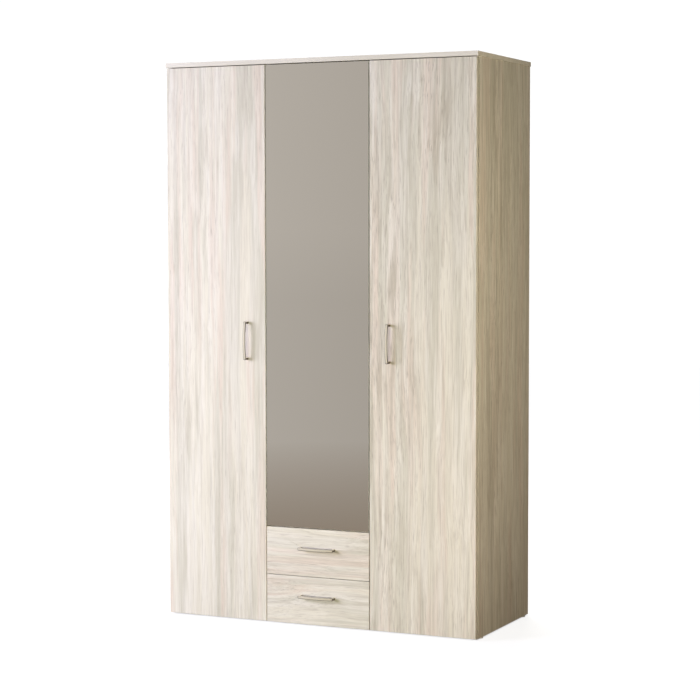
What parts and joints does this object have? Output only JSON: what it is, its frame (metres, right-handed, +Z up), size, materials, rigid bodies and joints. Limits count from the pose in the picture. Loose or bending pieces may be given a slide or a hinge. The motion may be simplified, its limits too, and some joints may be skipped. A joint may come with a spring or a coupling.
{
  "type": "wardrobe",
  "caption": "Three-door wardrobe in pale wood decor: plain outer doors with bow handles, a full mirror middle door, and drawers stacked under it.",
  "frame": {"origin": "on the floor, under the centre of the bounding box of the whole wardrobe with its handles", "axes": "+Z up, +X to the right seen from the front, the doors and drawers face -Y"},
  "size_m": [1.206, 0.5518, 2],
  "materials": {
    "door_decor": "satin",
    "carcass_decor": "satin",
    "drawer_decor": "satin",
    "hardboard": "matte",
    "mirror": "polished",
    "handle_nickel": "satin",
    "hinge_nickel": "satin",
    "zinc_steel": "satin",
    "rail_chrome": "polished",
    "white_steel": "satin",
    "plastic": "matte"
  },
  "bodies": {
    "carcass": {"left_side_panel": "carcass_decor", "right_side_panel": "carcass_decor", "partition": "carcass_decor", "drawer_partition": "carcass_decor", "top_board": "carcass_decor", "bottom_board_left": "carcass_decor", "bottom_board_right": "carcass_decor", "plinth_left": "carcass_decor", "plinth_right": "carcass_decor", "drawer_top_board": "carcass_decor", "hat_shelf": "carcass_decor", "shelf_1": "carcass_decor", "shelf_2": "carcass_decor", "shelf_3": "carcass_decor", "shelf_4": "carcass_decor", "back_panel_left": "hardboard", "back_panel_right": "hardboard", "back_nails": "zinc_steel", "shelf_pins": "zinc_steel", "hanging_rail": "rail_chrome", "rail_brackets": "rail_chrome", "floor_glides": "plastic", "cam_locks": "zinc_steel", "cam_bolts": "zinc_steel", "wall_brackets": "zinc_steel", "carcass_screws": "zinc_steel", "door_bumpers": "plastic", "cabinet_runners": "white_steel", "hinge_arms": "hinge_nickel", "hinge_pins": "zinc_steel", "hinge_plates": "hinge_nickel"},
    "left_door": {"left_door": "door_decor", "left_handle": "handle_nickel", "left_handle_screws": "zinc_steel", "left_hinge_cups": "hinge_nickel"},
    "mirror_door": {"mirror_door": "door_decor", "mirror_glass": "mirror", "mirror_hinge_cups": "hinge_nickel"},
    "right_door": {"right_door": "door_decor", "right_handle": "handle_nickel", "right_handle_screws": "zinc_steel", "right_hinge_cups": "hinge_nickel"},
    "upper_drawer": {"upper_drawer_front": "drawer_decor", "upper_drawer_sides": "drawer_decor", "upper_drawer_back": "drawer_decor", "upper_drawer_bottom": "hardboard", "upper_drawer_runners": "white_steel", "upper_drawer_handle": "handle_nickel", "upper_drawer_screws": "zinc_steel"},
    "upper_front_rollers": {"upper_front_rollers": "plastic"},
    "upper_rear_rollers": {"upper_rear_rollers": "plastic"},
    "lower_drawer": {"lower_drawer_front": "drawer_decor", "lower_drawer_sides": "drawer_decor", "lower_drawer_back": "drawer_decor", "lower_drawer_bottom": "hardboard", "lower_drawer_runners": "white_steel", "lower_drawer_handle": "handle_nickel", "lower_drawer_screws": "zinc_steel"},
    "lower_front_rollers": {"lower_front_rollers": "plastic"},
    "lower_rear_rollers": {"lower_rear_rollers": "plastic"}
  },
  "joints": [
    {"name": "left_door_hinge", "type": "hinge", "parent": "carcass", "child": "left_door", "pos_m": [-0.5905, -0.2404, 1], "axis": [0, 0, -1], "range_deg": [0, 100]},
    {"name": "mirror_door_hinge", "type": "hinge", "parent": "carcass", "child": "mirror_door", "pos_m": [-0.1915, -0.2404, 1], "axis": [0, 0, -1], "range_deg": [0, 100]},
    {"name": "right_door_hinge", "type": "hinge", "parent": "carcass", "child": "right_door", "pos_m": [0.5905, -0.2404, 1], "axis": [0, 0, 1], "range_deg": [0, 100]},
    {"name": "upper_drawer_slide", "type": "slide", "parent": "carcass", "child": "upper_drawer", "axis": [0, -1, 0], "range_m": [0, 0.32]},
    {"name": "upper_front_roller_spin", "type": "hinge", "parent": "carcass", "child": "upper_front_rollers", "pos_m": [0, -0.2149, 0.19405], "axis": [1, 0, 0], "range_deg": [0, 2400]},
    {"name": "upper_rear_roller_spin", "type": "hinge", "parent": "upper_drawer", "child": "upper_rear_rollers", "pos_m": [0, 0.2061, 0.19245], "axis": [1, 0, 0], "range_deg": [0, 2400]},
    {"name": "lower_drawer_slide", "type": "slide", "parent": "carcass", "child": "lower_drawer", "axis": [0, -1, 0], "range_m": [0, 0.32]},
    {"name": "lower_front_roller_spin", "type": "hinge", "parent": "carcass", "child": "lower_front_rollers", "pos_m": [0, -0.2149, 0.0728], "axis": [1, 0, 0], "range_deg": [0, 2400]},
    {"name": "lower_rear_roller_spin", "type": "hinge", "parent": "lower_drawer", "child": "lower_rear_rollers", "pos_m": [0, 0.2061, 0.0712], "axis": [1, 0, 0], "range_deg": [0, 2400]}
  ],
  "couplings": [
    {"joint": "upper_front_roller_spin", "follows": "upper_drawer_slide", "rad_per_m": 129.87},
    {"joint": "upper_rear_roller_spin", "follows": "upper_drawer_slide", "rad_per_m": 129.87},
    {"joint": "lower_front_roller_spin", "follows": "lower_drawer_slide", "rad_per_m": 129.87},
    {"joint": "lower_rear_roller_spin", "follows": "lower_drawer_slide", "rad_per_m": 129.87}
  ]
}
